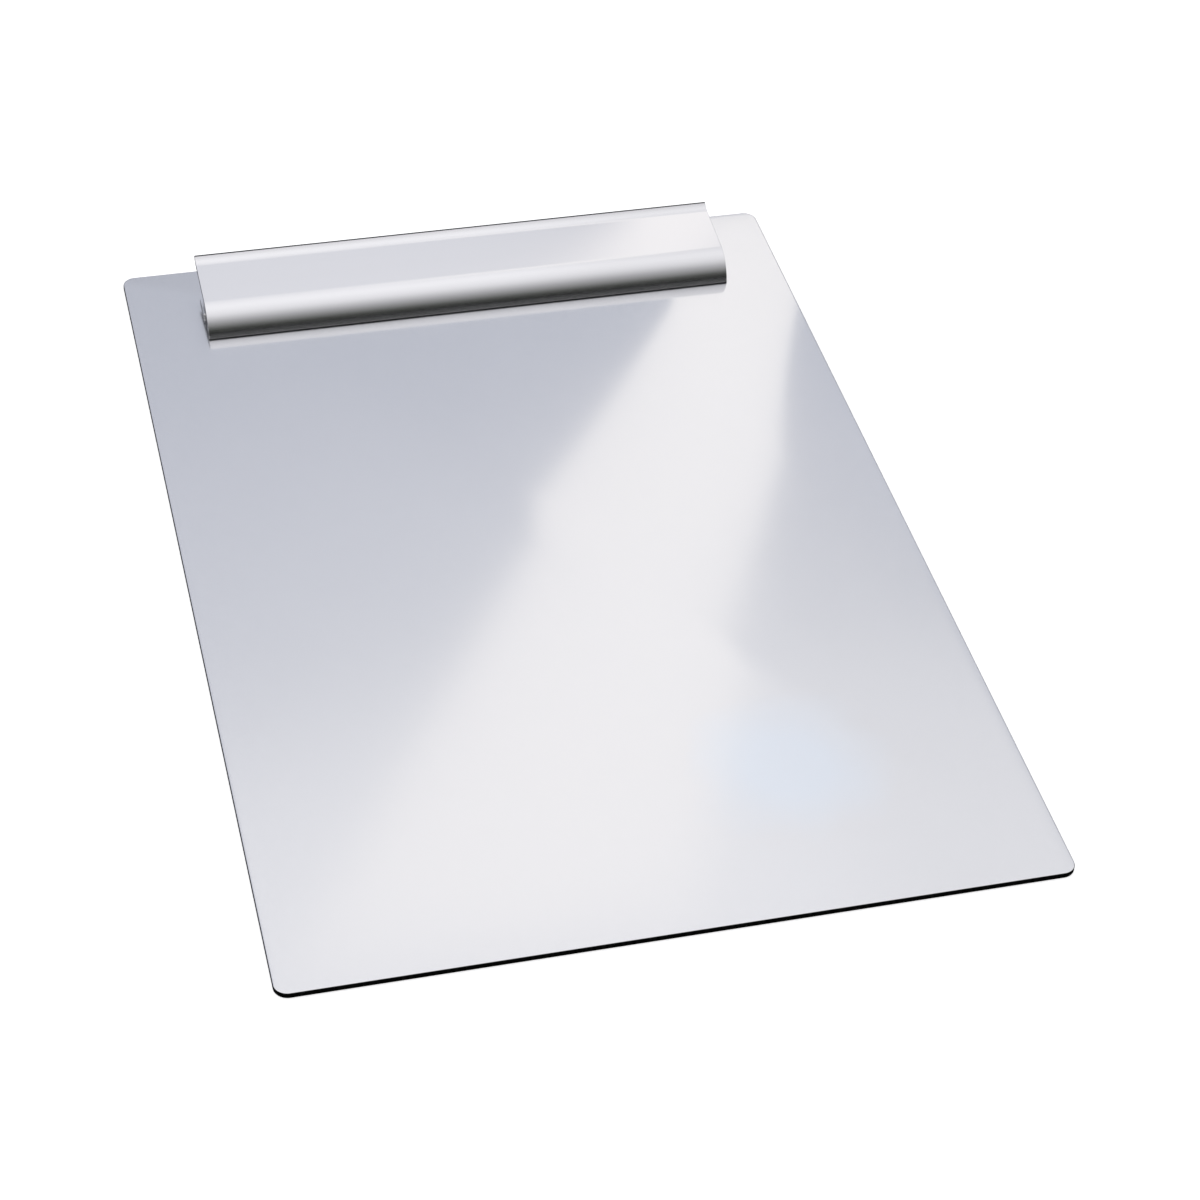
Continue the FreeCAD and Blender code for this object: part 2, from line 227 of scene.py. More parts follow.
def soft_outline(runs, radius, steps=4):
    """A closed outline through runs of points, each beginning where the last one ends.

    A meeting point p becomes the curve (1-s)^2 a + 2 s (1-s) p + s^2 b, where a and b lie one radius
    away on the two runs. The outline comes back counter-clockwise."""
    s = np.linspace(0, 1, steps + 1)[:, None]
    parts = []
    for before, after in zip(runs, runs[1:] + runs[:1]):
        a = step_from(before[-1], before[-2], radius)
        b = step_from(after[0], after[1], radius)
        parts += [(1 - s) ** 2 * a + 2 * s * (1 - s) * before[-1] + s ** 2 * b, after[1:-1]]
    outline = np.concatenate(parts)
    following = np.roll(outline, -1, 0)
    area = np.sum(outline[:, 0] * following[:, 1] - following[:, 0] * outline[:, 1])
    return outline if area > 0 else outline[::-1]


def polygon_runs(corners):
    """Straight runs round a closed polygon."""
    return [straight(a, b, 0.1 * MM) for a, b in zip(corners, corners[1:] + corners[:1])]


def inward(outline):
    """Unit normals to the inside of a counter-clockwise outline: its tangent turned a quarter left."""
    tangent = np.roll(outline, -1, 0) - np.roll(outline, 1, 0)
    left = np.stack([-tangent[:, 1], tangent[:, 0]], 1)
    return left / np.linalg.norm(left, axis=1, keepdims=True)


# ---------------------------------------------------------------- surfaces

def ring_mesh(name, rings, closed=False):
    """A mesh from rings of points: rings[i, j] is point j of ring i, and each ring closes on itself.

    Ring i moves along an axis as i grows, and j runs counter-clockwise seen from that axis's tip.
    closed joins the last ring to the first; otherwise a flat face closes each end."""
    rows, columns = rings.shape[:2]
    index = np.arange(rows * columns).reshape(rows, columns)
    if closed:
        index = np.vstack([index, index[:1]])
    beside = np.roll(index, -1, 1)
    faces = np.stack([index[:-1], beside[:-1], beside[1:], index[1:]], -1).reshape(-1, 4).tolist()
    if not closed:
        faces += [index[0][::-1].tolist(), index[-1].tolist()]
    mesh = bpy.data.meshes.new(name)
    mesh.from_pydata(rings.reshape(-1, 3), [], faces)
    piece = bpy.data.objects.new(name, mesh)
    bpy.context.scene.collection.objects.link(piece)
    return piece


def broken_ends(low, high, edge, steps=4):
    """Places and insets of the rings of a bar with rounded ends, as a goes from 0 to a quarter turn:
    depth edge (1 - cos a) from the end face and inset edge (1 - sin a) from the outline."""
    a = np.linspace(0, math.pi / 2, steps + 1)
    depth, inset = edge * (1 - np.cos(a)), edge * (1 - np.sin(a))
    return np.concatenate([low + depth, (high - depth)[::-1]]), np.concatenate([inset, inset[::-1]])


def bar(name, outline, low_x, high_x, edge):
    """A bar along X with a (y, z) outline: outline + inset * inward normal at each ring."""
    x, inset = broken_ends(low_x, high_x, edge)
    section = outline[None] + inset[:, None, None] * inward(outline)[None]
    along = np.broadcast_to(x[:, None, None], section.shape[:2] + (1,))
    return ring_mesh(name, np.concatenate([along, section], 2))


def turned(name, profile, centre, axis="X", closed=False, sides=72):
    """The solid that an (along, radius) profile makes round an axis: centre + r (cos a, sin a) across
    the axis and the profile's first number along it."""
    a = np.linspace(0, 2 * math.pi, sides, endpoint=False)
    profile = np.array(profile)
    along = np.repeat(profile[:, :1], sides, 1)
    first, second = profile[:, 1:] * np.cos(a), profile[:, 1:] * np.sin(a)
    order = (along, first, second) if axis == "X" else (first, second, along)
    return ring_mesh(name, np.stack(order, -1) + np.array(centre), closed)


def bored_block(name, outer, bore, low_x, high_x, edge=0.12 * MM):
    """A block round the hinge axis, bored along it. outer is its radius at evenly spaced angles, and
    the wall runs out along the outside and back along the bore as one closed sleeve."""
    a = np.linspace(0, 2 * math.pi, len(outer), endpoint=False)
    x, inset = broken_ends(low_x, high_x, edge, 2)
    radius = np.concatenate([outer[None] - inset[:, None], np.full((2, len(a)), bore)])
    x = np.concatenate([x, [high_x, low_x]])
    rings = np.stack([np.repeat(x[:, None], len(a), 1),
                      PIVOT[1] + radius * np.cos(a), PIVOT[2] + radius * np.sin(a)], -1)
    return ring_mesh(name, rings, closed=True)


def webbed_radius(knuckle, half_web, reach, upward, sides=144):
    """Radius by angle of a round knuckle with a straight web: the larger of the knuckle's radius and
    the distance to the web's side or top, min(half_web / |cos a|, reach / sin a)."""
    a = np.linspace(0, 2 * math.pi, sides, endpoint=False)
    rise = np.sin(a) * (1 if upward else -1)
    web = np.minimum(half_web / np.maximum(np.abs(np.cos(a)), 1e-6), reach / np.maximum(rise, 1e-6))
    return np.where(rise > 0, np.maximum(knuckle, web), knuckle)


def wire(name, path, radius, sides=20):
    """A round wire along a path: circles of the radius spanned by n = tangent x X and tangent x n,
    and a small taper at both tips."""
    tangent = np.gradient(path, axis=0)
    tangent /= np.linalg.norm(tangent, axis=1, keepdims=True)
    across = np.cross(tangent, (1.0, 0.0, 0.0))
    across /= np.linalg.norm(across, axis=1, keepdims=True)
    beside = np.cross(tangent, across)
    a = np.linspace(0, 2 * math.pi, sides, endpoint=False)[None, :, None]
    size = np.full(len(path), radius)
    size[[0, -1]] *= 0.72
    circle = np.cos(a) * across[:, None] + np.sin(a) * beside[:, None]
    return ring_mesh(name, path[:, None] + size[:, None, None] * circle)


def joined(pieces):
    """Several loose meshes put together as one object."""
    first = pieces[0]
    with bpy.context.temp_override(active_object=first, selected_editable_objects=pieces):
        bpy.ops.object.join()
    return first


def combine(piece, tool, operation):
    """The piece united with the tool, or cut by it. The tool is used up."""
    change = piece.modifiers.new(operation.title(), "BOOLEAN")
    change.operation, change.solver, change.object = operation, "EXACT", tool
    view = bpy.context.evaluated_depsgraph_get()
    mesh = bpy.data.meshes.new_from_object(piece.evaluated_get(view))
    mesh.name = piece.name
    piece.modifiers.clear()
    piece.data = mesh
    bpy.data.objects.remove(tool)
    return piece


def finish_piece(piece, body, materials, rule=None):
    """Shade, paint and hand over one finished piece, smooth but for edges that turn past an angle.

    rule takes face normals and centres and gives each face's place in the list of materials."""
    mesh = piece.data
    count = len(mesh.polygons)
    mesh.set_sharp_from_angle(angle=SHARP_ANGLE)
    mesh.materials.clear()
    for made in materials:
        mesh.materials.append(made)
    chosen = np.zeros(count, np.int32)
    if rule is not None:
        normals, centres = np.zeros(count * 3), np.zeros(count * 3)
        mesh.polygons.foreach_get("normal", normals)
        mesh.polygons.foreach_get("center", centres)
        chosen = rule(normals.reshape(-1, 3), centres.reshape(-1, 3)).astype(np.int32)
    mesh.polygons.foreach_set("material_index", chosen)
    mesh.update()
    if body:
        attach(piece, body)
    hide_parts(piece.name.removesuffix("_finish"))
    return piece


def sawn_ends(normals, centres):
    """Faces that look along X take the second material, all others the first."""
    return np.abs(normals[:, 0]) > 0.9


# ---------------------------------------------------------------- finishes

def add_node(tree, kind, inputs=None, **settings):
    """A node with its settings, and its inputs by name or number: a value, or a socket to link."""
    made = tree.nodes.new(kind)
    for key, value in settings.items():
        setattr(made, key, value)
    for key, value in (inputs or {}).items():
        if isinstance(value, bpy.types.NodeSocket):
            tree.links.new(value, made.inputs[key])
        else:
            made.inputs[key].default_value = value
    return made


class Finish:
    """A node material in the making: a Principled shader with values set on its sockets."""

    def __init__(self, name, **values):
        self.material = bpy.data.materials.new(name)
        self.material.use_nodes = True
        self.tree = self.material.node_tree
        self.shader = self.tree.nodes["Principled BSDF"]
        for socket, value in values.items():
            value = (*value, 1.0) if socket == "Base_Color" else value
            self.shader.inputs[socket.replace("_", " ")].default_value = value
        self.place = self.node("ShaderNodeTexCoord").outputs["Object"]

    def node(self, kind, inputs=None, **settings):
        """A node of this material."""
        return add_node(self.tree, kind, inputs, **settings)

    def stretched(self, scale, turn=(0, 0, 0), origin=(0, 0, 0)):
        """Object coordinates moved, turned and then scaled."""
        moved = self.node("ShaderNodeMapping", {"Vector": self.place, "Location": origin, "Rotation": turn})
        return self.node("ShaderNodeMapping", {"Vector": moved.outputs[0], "Scale": scale}).outputs[0]

    def noise(self, scale, detail=2.0, vector=None, roughness=0.5):
        """A noise value round 0.5. The scale is in waves per metre."""
        return self.node("ShaderNodeTexNoise", {"Vector": vector or self.place, "Scale": scale,
                                                "Detail": detail, "Roughness": roughness}).outputs[0]

    def remap(self, value, from_low, from_high, to_low, to_high):
        """A value moved from one range to another, and kept inside it."""
        return self.node("ShaderNodeMapRange", {"Value": value, "From Min": from_low, "From Max": from_high,
                                                "To Min": to_low, "To Max": to_high}).outputs[0]

    def sum(self, first, second, kind="ADD"):
        """Two values added, or combined by another sum."""
        return self.node("ShaderNodeMath", {0: first, 1: second}, operation=kind).outputs[0]

    def mixed(self, factor, first, second):
        """A colour between two others."""
        made = self.node("ShaderNodeMix", {"Factor": factor}, data_type="RGBA")
        for number, value in ((6, first), (7, second)):
            if isinstance(value, bpy.types.NodeSocket):
                self.tree.links.new(value, made.inputs[number])
            else:
                made.inputs[number].default_value = (*value, 1.0)
        return made.outputs[2]

    def bump(self, height, distance, strength=1.0, below=None):
        """A bump of a height in metres, over another bump where one is given."""
        inputs = {"Height": height, "Distance": distance, "Strength": strength}
        if below is not None:
            inputs["Normal"] = below
        return self.node("ShaderNodeBump", inputs).outputs[0]

    def set(self, socket, value):
        """Link a value to one of the shader's sockets."""
        self.tree.links.new(value, self.shader.inputs[socket])
        return self


def scaled(tint, factor):
    """A colour made lighter or darker."""
    return tuple(part * factor for part in tint)


def anodised_sheet(plate):
    """Satin anodised sheet: almost a mirror, with fine pits, faint clouds, a few specks, one smear."""
    f = Finish("anodised_sheet", Metallic=1.0)
    cloud = f.noise(14.0, 3.0)
    pits = f.node("ShaderNodeTexWhiteNoise", {"Vector": f.stretched((40000, 40000, 40000))}).outputs[0]
    tint = f.mixed(f.remap(cloud, 0.35, 0.65, 0, 1), scaled(plate.metal, 0.992), plate.metal)
    speck = f.node("ShaderNodeTexVoronoi", {"Vector": f.place, "Scale": 30.0}).outputs["Distance"]
    rare = f.sum(f.noise(11.0, 0.0), 0.68, "GREATER_THAN")
    speck = f.sum(f.remap(speck, 0.008, 0.014, 0.5, 0), rare, "MULTIPLY")
    away = f.node("ShaderNodeVectorMath", {0: f.place, 1: tuple(plate.smear_place)}, operation="DISTANCE")
    uneven = f.sum(f.noise(38.0, 4.0), 0.9, "ADD")
    reach = f.sum(away.outputs["Value"], uneven, "MULTIPLY")
    smear = f.remap(reach, plate.smear_size * 0.45, plate.smear_size * 1.35, 1, 0)
    tint = f.mixed(f.sum(smear, 0.8, "MULTIPLY"), tint, tuple(plate.smear_tint))
    f.set("Base Color", f.mixed(speck, tint, scaled(plate.metal, 0.25)))
    pitted = f.sum(pits, f.sum(plate.haze_share, f.sum(smear, 0.25, "MULTIPLY")), "LESS_THAN")
    smooth = f.remap(cloud, 0.3, 0.7, plate.roughness * 0.9, plate.roughness * 1.15)
    f.set("Roughness", f.sum(f.sum(pitted, plate.haze - plate.roughness, "MULTIPLY"), smooth))
    return f.material


def cut_edge(plate):
    """The sheet's cut edge: near black as a painted dark reflection, and slightly streaked along its
    height.
    """
    f = Finish("cut_edge", Metallic=1.0)
    streak = f.noise(1.0, 2.0, f.stretched((900, 900, 120)))
    f.set("Base Color", f.mixed(f.remap(streak, 0.3, 0.7, 0, 1), scaled(plate.edge_painted_dark_reflection, 0.6),
                                scaled(plate.edge_painted_dark_reflection, 1.7)))
    f.set("Roughness", f.remap(streak, 0.3, 0.7, 0.28, 0.45))
    f.set("Normal", f.bump(streak, 0.00002, 0.3))
    return f.material


def extruded_metal(clamp):
    """Anodised extrusion: fine die lines along X over a satin ground."""
    f = Finish("anodised_extrusion", Metallic=1.0)
    die = f.noise(1.0, 3.0, f.stretched((9, 2600, 2600)), 0.6)
    broad = f.noise(1.0, 2.0, f.stretched((3, 420, 420)))
    lines = f.sum(f.sum(die, 0.7, "MULTIPLY"), f.sum(broad, 0.3, "MULTIPLY"))
    f.set("Base Color", f.mixed(f.remap(lines, 0.35, 0.65, 0, 1), scaled(clamp.metal, 0.98), clamp.metal))
    f.set("Roughness", f.remap(lines, 0.35, 0.65, clamp.roughness * 0.92, clamp.roughness * 1.08))
    f.set("Normal", f.bump(lines, 0.000004, 0.15))
    return f.material


def painted_shade_inside(clamp):
    """The skin inside an extrusion: dark as painted shade in the hollow, rough, with coarse die lines."""
    f = Finish("extrusion_inside", Metallic=1.0)
    lines = f.noise(1.0, 3.0, f.stretched((12, 1500, 1500)), 0.6)
    f.set("Base Color", f.mixed(f.remap(lines, 0.35, 0.65, 0, 1), scaled(clamp.inside_painted_shade, 0.7),
                                scaled(clamp.inside_painted_shade, 1.3)))
    f.set("Roughness", f.remap(lines, 0.35, 0.65, 0.4, 0.55))
    f.set("Normal", f.bump(lines, 0.00001, 0.4))
    return f.material


def painted_dark_lip_edge(clamp):
    """The lip's free edge: painted dark as a painted reflection, streaked along X."""
    f = Finish("lip_edge", Metallic=1.0)
    streak = f.noise(1.0, 3.0, f.stretched((60, 2600, 2600)))
    f.set("Base Color", f.mixed(f.remap(streak, 0.3, 0.7, 0, 1), scaled(clamp.sawn_metal_painted_shade, 0.3),
                                scaled(clamp.sawn_metal_painted_shade, 0.5)))
    f.set("Roughness", f.remap(streak, 0.3, 0.7, 0.22, 0.36))
    f.set("Normal", f.bump(streak, 0.00001, 0.3))
    return f.material


def sawn_metal_painted_shade(clamp):
    """A sawn and deburred end: close saw lines over metal darkened as painted shade."""
    f = Finish("sawn_end", Metallic=1.0)
    saw = f.noise(1.0, 2.0, f.stretched((60, 300, 4200), (math.radians(24), 0, 0)))
    f.set("Base Color", f.mixed(f.remap(saw, 0.3, 0.7, 0, 1), scaled(clamp.sawn_metal_painted_shade, 0.8),
                                clamp.sawn_metal_painted_shade))
    f.set("Roughness", f.remap(saw, 0.3, 0.7, 0.26, 0.42))
    f.set("Normal", f.bump(saw, 0.00001, 0.5))
    return f.material


def grip_rubber(clamp):
    """Soft black strip with a faint extruded grain."""
    f = Finish("grip_rubber")
    f.shader.inputs["Specular IOR Level"].default_value = 0.35
    grain = f.noise(1.0, 2.0, f.stretched((40, 3000, 3000)))
    dust = f.noise(900.0, 2.0)
    f.set("Base Color", f.mixed(f.remap(dust, 0.55, 0.8, 0, 1), clamp.rubber, scaled(clamp.rubber, 2.6)))
    f.set("Roughness", f.remap(grain, 0.3, 0.7, 0.55, 0.75))
    f.set("Normal", f.bump(grain, 0.00003, 0.4))
    return f.material


def ground_steel(hinge):
    """Bright drawn bar: very fine lines round it."""
    f = Finish("ground_steel", Metallic=1.0)
    lines = f.noise(1.0, 3.0, f.stretched((5200, 60, 60)))
    f.set("Base Color", f.mixed(f.remap(lines, 0.3, 0.7, 0, 1), scaled(hinge.steel, 0.86), hinge.steel))
    f.set("Roughness", f.remap(lines, 0.3, 0.7, 0.2, 0.34))
    f.set("Normal", f.bump(lines, 0.000006, 0.4))
    return f.material


def moulded_nylon(hinge):
    """Natural nylon: waxy, a little see-through, with a fine moulded skin."""
    f = Finish("natural_nylon")
    f.shader.inputs["Subsurface Weight"].default_value = 0.25
    f.shader.inputs["Subsurface Scale"].default_value = 0.0008
    skin = f.noise(2600.0, 3.0)
    f.set("Base Color", f.mixed(f.remap(skin, 0.3, 0.7, 0, 1), scaled(hinge.nylon, 0.9), hinge.nylon))
    f.set("Roughness", f.remap(skin, 0.3, 0.7, 0.38, 0.55))
    f.set("Normal", f.bump(skin, 0.00003, 0.35))
    return f.material


def pressed_steel(hinge):
    """Pressed spring steel: short draw marks along X over a dull ground."""
    f = Finish("pressed_steel", Metallic=1.0)
    marks = f.noise(1.0, 3.0, f.stretched((300, 3400, 3400)))
    f.set("Base Color", f.mixed(f.remap(marks, 0.3, 0.7, 0, 1), scaled(hinge.cap_steel, 0.75),
                                hinge.cap_steel))
    f.set("Roughness", f.remap(marks, 0.3, 0.7, 0.3, 0.46))
    f.set("Normal", f.bump(marks, 0.00001, 0.4))
    return f.material


def spring_steel(hinge):
    """Music wire: smooth and a little uneven in tone."""
    f = Finish("spring_steel", Metallic=1.0)
    tone = f.noise(420.0, 3.0)
    f.set("Base Color", f.mixed(f.remap(tone, 0.3, 0.7, 0, 1), scaled(hinge.wire_steel, 0.7),
                                scaled(hinge.wire_steel, 1.35)))
    f.set("Roughness", f.remap(tone, 0.3, 0.7, 0.24, 0.4))
    f.set("Normal", f.bump(f.noise(3200.0), 0.000006, 0.4))
    return f.material


def upset_metal(name, tint):
    """A cold-headed fastener: a soft sheen, a little uneven in tone."""
    f = Finish(name, Metallic=1.0)
    tone = f.noise(900.0, 3.0)
    f.set("Base Color", f.mixed(f.remap(tone, 0.3, 0.7, 0, 1), scaled(tint, 0.82), tint))
    f.set("Roughness", f.remap(tone, 0.3, 0.7, 0.26, 0.42))
    f.set("Normal", f.bump(tone, 0.00001, 0.35))
    return f.material


# ---------------------------------------------------------------- pieces

def upright_axis(node):
    """The middle of a node seen from above, at height 0."""
    low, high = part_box(node)
    return (low.x + high.x) / 2, (low.y + high.y) / 2, 0


def plate_outline(low, high, radius):
    """The plate's (x, y) outline: four quarter circles joined by straight sides."""
    quarter = math.pi / 2
    corners = [((high.x - radius, high.y - radius), 0), ((low.x + radius, high.y - radius), 1),
               ((low.x + radius, low.y + radius), 2), ((high.x - radius, low.y + radius), 3)]
    return np.concatenate([arc(centre, radius, turn * quarter, (turn + 1) * quarter)
                           for centre, turn in corners])


def make_backing_plate(plate):
    """The sheet: its outline carried up a rim profile, and countersunk rivet holes.

    The profile goes in by r (1 - sin a) and up by r (1 - cos a) at both rims, a quarter turn each."""
    low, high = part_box("backing_plate")
    outline = plate_outline(low, high, plate.corner_radius)
    z, inset = broken_ends(low.z, high.z, plate.rim_radius, 8)
    flat = outline[None] + inset[:, None, None] * inward(outline)[None]
    up = np.broadcast_to(z[:, None, None], flat.shape[:2] + (1,))
    sheet = ring_mesh("backing_plate_finish", np.concatenate([flat, up], 2))
    sink, hole, past = plate.sink_radius, DRILLED_RADIUS, 0.5 * MM
    profile = [(-past, sink + past * SINK_SLOPE), ((sink - hole) / SINK_SLOPE, hole),
               (high.z + past, hole)]
    cutters = [turned("cutter", profile, upright_axis(node), "Z") for node in RIVET_NODES]
    combine(sheet, joined(cutters), "DIFFERENCE")

    def rule(normals, centres):
        # Rim faces round the outer border take the cut edge's painted dark reflection
        rim = np.abs(normals[:, 2]) < 0.72
        outside = np.abs(centres[:, 1]) > high.y - plate.corner_radius - 1 * MM
        outside |= np.abs(centres[:, 0]) > high.x - 1 * MM
        return rim & outside

    return finish_piece(sheet, "board", [anodised_sheet(plate), cut_edge(plate)], rule)


def lever_outline(clamp, foot_z):
    """The lever's (y, z) outline: lip, flat, nose, foot with its T slot, and back along the inside."""
    tilt = clamp.flat_tilt
    into = np.array([math.sin(tilt), -math.cos(tilt)])
    along = np.array([math.cos(tilt), math.sin(tilt)])
    front = np.array([clamp.flat_front_y, clamp.flat_front_z])
    back = front + clamp.flat_length * along
    nose = front + clamp.nose_radius * into
    lip = back - clamp.lip_radius * into
    nose_inner = clamp.nose_radius - clamp.wall
    lip_outer = clamp.lip_radius + clamp.wall
    right = math.pi / 2
    nose_end = math.pi - math.asin((foot_z - nose[1]) / clamp.nose_radius)
    nose_back = math.pi - math.acos((nose[0] - clamp.nose_foot_back_y) / nose_inner)
    lip_start, lip_end = tilt - right, clamp.lip_end_tilt - right

    outside = arc(lip, clamp.lip_radius, lip_end, lip_start)
    over = np.concatenate([outside, straight(back, front)[1:-1],
                           arc(nose, clamp.nose_radius, tilt + right, nose_end, math.radians(2))])
    neck, head = clamp.slot_neck_width / 2, clamp.slot_head_width / 2
    neck_z = foot_z + clamp.slot_neck_height
    head_z = neck_z + clamp.slot_head_height
    middle = clamp.slot_centre_y
    slot = [over[-1], (middle - neck, foot_z), (middle - neck, neck_z), (middle - head, neck_z),
            (middle - head, head_z), (middle + head, head_z), (middle + head, neck_z),
            (middle + neck, neck_z), (middle + neck, foot_z), (clamp.nose_foot_back_y, foot_z)]
    inside_nose = arc(nose, nose_inner, nose_back, tilt + right)
    inside_lip = arc(lip, lip_outer, lip_start, lip_end)
    under = np.concatenate([inside_nose, straight(inside_nose[-1], inside_lip[0])[1:-1], inside_lip])
    end_run = [straight(slot[-1], under[0], 0.1 * MM)]
    tip, root = over[0], under[-1]
    out = np.array([math.cos(clamp.lip_end_tilt), math.sin(clamp.lip_end_tilt)])
    s = np.linspace(0, 1, 9)[:, None]
    edge = root + s * (tip - root) + 4 * s * (1 - s) * clamp.lip_edge_bulge * out
    slot_runs = [straight(a, b, 0.1 * MM) for a, b in zip(slot, slot[1:])]
    return soft_outline([over] + slot_runs + end_run + [under, edge], 0.1 * MM)


def rib_middles(clamp):
    """Where the lever's hinge ribs sit along X."""
    count = len(BUSH_NODES)
    return PIVOT[0] + (np.arange(count) - (count - 1) / 2) * clamp.rib_pitch


def make_clamp_lever(clamp):
    """The lever: its skin, the milled remnant of the hinge rib, and the bored ribs."""
    low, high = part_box("clamp_lever")
    lever = bar("clamp_lever_finish", lever_outline(clamp, low.z), low.x, high.x, clamp.edge_break)
    rise = (PIVOT[1] - clamp.flat_front_y) * math.tan(clamp.flat_tilt)
    top = clamp.flat_front_z + rise - clamp.wall / 2 - PIVOT[2]
    bush_low, bush_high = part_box(BUSH_NODES[0])
    bore = (bush_high.z - bush_low.z) / 2 + 0.02 * MM
    outer = webbed_radius(clamp.knuckle_radius, clamp.rib_web_width / 2, top, True)
    ribs = [bored_block("rib", outer, bore, x - clamp.rib_length / 2, x + clamp.rib_length / 2)
            for x in rib_middles(clamp)]
    half = clamp.rib_web_width / 2 - 0.02 * MM
    y, z = PIVOT[1], PIVOT[2]
    corners = [(y - half, z + clamp.mill_clearance), (y + half, z + clamp.mill_clearance),
               (y + half, z + top), (y - half, z + top)]
    remnant = bar("remnant", soft_outline(polygon_runs(corners), 0.05 * MM, 2),
                  low.x + clamp.edge_break, high.x - clamp.edge_break, 0.05 * MM)
    combine(lever, remnant, "UNION")
    combine(lever, joined(ribs), "UNION")
    end_tilt, cos_tilt = clamp.lip_end_tilt, math.cos(clamp.lip_end_tilt)
    lip_y = (clamp.flat_front_y + clamp.flat_length * math.cos(clamp.flat_tilt)
             + clamp.lip_radius * (math.sin(end_tilt) - math.sin(clamp.flat_tilt)))
    lip_z = (clamp.flat_front_z + clamp.flat_length * math.sin(clamp.flat_tilt)
             + clamp.lip_radius * (math.cos(clamp.flat_tilt) - cos_tilt))

    flat_back = clamp.flat_front_y + clamp.flat_length * math.cos(clamp.flat_tilt)
    half_wall = clamp.wall / 2
    nose_y = clamp.flat_front_y + clamp.nose_radius * math.sin(clamp.flat_tilt)
    nose_z = clamp.flat_front_z - clamp.nose_radius * math.cos(clamp.flat_tilt)

    def rule(normals, centres):
        # Faces at the lip's free edge take a painted dark reflection
        past = (centres[:, 1] - lip_y) * cos_tilt + (centres[:, 2] - lip_z) * math.sin(end_tilt)
        free_edge = past > -clamp.lip_edge_dark_band
        y, z = centres[:, 1], centres[:, 2]
        middle_z = clamp.flat_front_z + (y - clamp.flat_front_y) * math.tan(clamp.flat_tilt) - half_wall
        in_nose = np.hypot(y - nose_y, z - nose_z) < clamp.nose_radius - half_wall
        # Faces inside the skin take painted shade
        inside = np.where(y < clamp.flat_front_y, in_nose, (z < middle_z) & (y < flat_back))
        choices = [np.abs(normals[:, 0]) > 0.9, free_edge, inside]
        return np.select(choices, [1, 2, 3], 0)

    # Sawn ends get metal darkened as painted shade
    metals = [extruded_metal(clamp), sawn_metal_painted_shade(clamp), painted_dark_lip_edge(clamp), painted_shade_inside(clamp)]
    return finish_piece(lever, "lever", metals, rule)


def make_grip_strip(clamp):
    """The strip: a flat pad and the T root that holds it in the slot."""
    low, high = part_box("grip_strip")
    foot_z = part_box("clamp_lever")[0].z
    play = 0.05 * MM
    neck, head = clamp.slot_neck_width / 2 - play, clamp.slot_head_width / 2 - play
    neck_z = foot_z + clamp.slot_neck_height + play
    middle = clamp.slot_centre_y
    corners = [(low.y, low.z), (high.y, low.z), (high.y, foot_z), (middle + neck, foot_z),
               (middle + neck, neck_z), (middle + head, neck_z), (middle + head, high.z),
               (middle - head, high.z), (middle - head, neck_z), (middle - neck, neck_z),
               (middle - neck, foot_z), (low.y, foot_z)]
    strip = bar("grip_strip_finish", soft_outline(polygon_runs(corners), 0.06 * MM, 3),
                low.x, high.x, 0.05 * MM)
    return finish_piece(strip, "lever", [grip_rubber(clamp)])


def make_hinge_base(clamp):
    """The base: a foot with a chamfered front, a webbed knuckle in each bay, and the rivet holes."""
    low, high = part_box("hinge_base")
    foot_top = low.z + clamp.foot_thickness
    corners = [(low.y, low.z), (high.y, low.z), (high.y, foot_top),
               (low.y + clamp.foot_chamfer, foot_top), (low.y, foot_top - clamp.foot_chamfer)]
    base = bar("hinge_base_finish", soft_outline(polygon_runs(corners), 0.12 * MM, 3),
               low.x, high.x, clamp.edge_break)
    outer = webbed_radius(clamp.knuckle_radius, clamp.knuckle_web_width / 2,
                          PIVOT[2] - foot_top + 0.4 * MM, False)
    knuckles = []
    for x in rib_middles(clamp)[[0, 1, 3, 4]]:
        side = 1 if x < PIVOT[0] else -1
        near = x + side * (clamp.rib_length / 2 + clamp.knuckle_gap)
        far = near + side * clamp.knuckle_length
        knuckles.append(bored_block("knuckle", outer, DRILLED_RADIUS, min(near, far), max(near, far)))
    combine(base, joined(knuckles), "UNION")
    shaft = [(low.z - 1 * MM, DRILLED_RADIUS), (foot_top + 1 * MM, DRILLED_RADIUS)]
    drills = [turned("drill", shaft, upright_axis(node), "Z") for node in RIVET_NODES]
    combine(base, joined(drills), "DIFFERENCE")
    # The base's sawn ends take metal darkened as painted shade
    return finish_piece(base, "board", [extruded_metal(clamp), sawn_metal_painted_shade(clamp)], sawn_ends)


def make_hinge_rod(hinge):
    """The rod: a round bar with a chamfer at each end."""
    low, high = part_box("hinge_rod")
    radius, chamfer = (high.z - low.z) / 2, 0.3 * MM
    profile = [(low.x, radius - chamfer), (low.x + chamfer, radius),
               (high.x - chamfer, radius), (high.x, radius - chamfer)]
    rod = turned("hinge_rod_finish", profile, (0, PIVOT[1], PIVOT[2]))
    return finish_piece(rod, "board", [ground_steel(hinge)])


